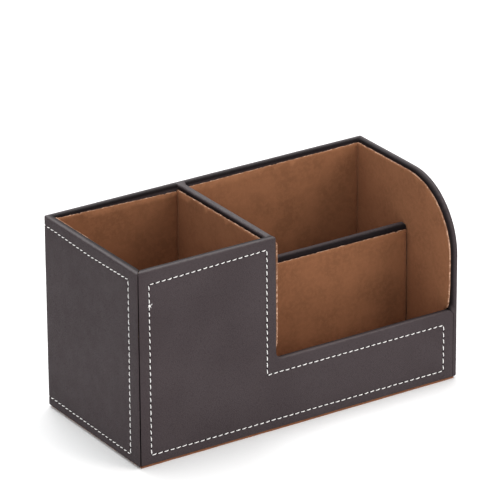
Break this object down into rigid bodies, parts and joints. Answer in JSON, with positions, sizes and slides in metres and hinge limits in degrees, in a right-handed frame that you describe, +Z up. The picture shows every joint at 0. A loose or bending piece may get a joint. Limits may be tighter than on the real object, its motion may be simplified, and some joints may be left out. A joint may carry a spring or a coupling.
{
  "type": "desk organiser",
  "caption": "Desk organiser box with a tall pencil bay, a rear pen bay and a low-fronted tray, covered in stitched imitation leather and lined with flock.",
  "frame": {"origin": "middle of the footprint, on the surface that the box stands on", "axes": "+X to the right along the front, +Y towards the back, +Z up"},
  "size_m": [0.2087, 0.0962, 0.1142],
  "materials": {
    "leather": "satin grained",
    "flocked_lining": "matte flock",
    "base_flock": "matte flock",
    "board": "raw fibreboard",
    "thread": "twisted thread"
  },
  "bodies": {
    "root": {"front_board": "board", "back_board": "board", "left_board": "board", "right_board": "board", "base_board": "board", "cross_divider_board": "board", "tray_divider_board": "board", "front_leather": "leather", "wrap_leather": "leather", "cross_divider_leather": "leather", "tray_divider_leather": "leather", "pencil_bay_left_lining": "flocked_lining", "pencil_bay_right_lining": "flocked_lining", "pencil_bay_front_lining": "flocked_lining", "pencil_bay_back_lining": "flocked_lining", "pencil_bay_floor_lining": "flocked_lining", "cross_divider_right_lining": "flocked_lining", "right_wall_lining": "flocked_lining", "pen_bay_back_lining": "flocked_lining", "pen_bay_front_lining": "flocked_lining", "pen_bay_floor_lining": "flocked_lining", "tray_back_lining": "flocked_lining", "tray_front_lining": "flocked_lining", "tray_floor_lining": "flocked_lining", "base_cover": "base_flock", "front_stitching": "thread", "wrap_stitching": "thread"}
  },
  "joints": []
}
